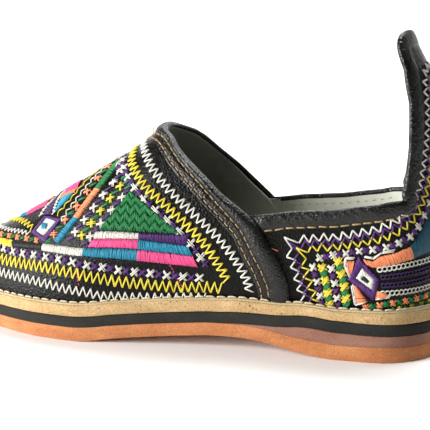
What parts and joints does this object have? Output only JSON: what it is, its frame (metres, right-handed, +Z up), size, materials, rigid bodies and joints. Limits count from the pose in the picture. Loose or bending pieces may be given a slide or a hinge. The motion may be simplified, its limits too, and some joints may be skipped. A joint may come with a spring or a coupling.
{
  "type": "babouche slipper",
  "caption": "Left babouche slipper with a tall heel tab: hollow embroidered leather upper on a layered sole with a low heel wedge, open at the collar.",
  "frame": {"origin": "on the floor, under the middle of the sole's length and width", "axes": "+X towards the heel's back, -X towards the toe, -Y towards the outer side of the foot, +Z up"},
  "size_m": [0.27, 0.09, 0.1556],
  "materials": {
    "black_leather": "semi-gloss",
    "trim_leather": "semi-gloss",
    "grey_lining": "matte",
    "thread": "satin",
    "orange_rubber": "matte",
    "mauve_rubber": "matte",
    "black_foam": "matte",
    "tan_foam": "matte"
  },
  "bodies": {
    "root": {"outsole": "orange_rubber", "heel_wedge": "mauve_rubber", "black_midsole": "black_foam", "tan_rand": "tan_foam", "insole": "grey_lining", "upper": "black_leather", "vamp_band": "trim_leather", "quarter_binding": "trim_leather"}
  },
  "joints": []
}
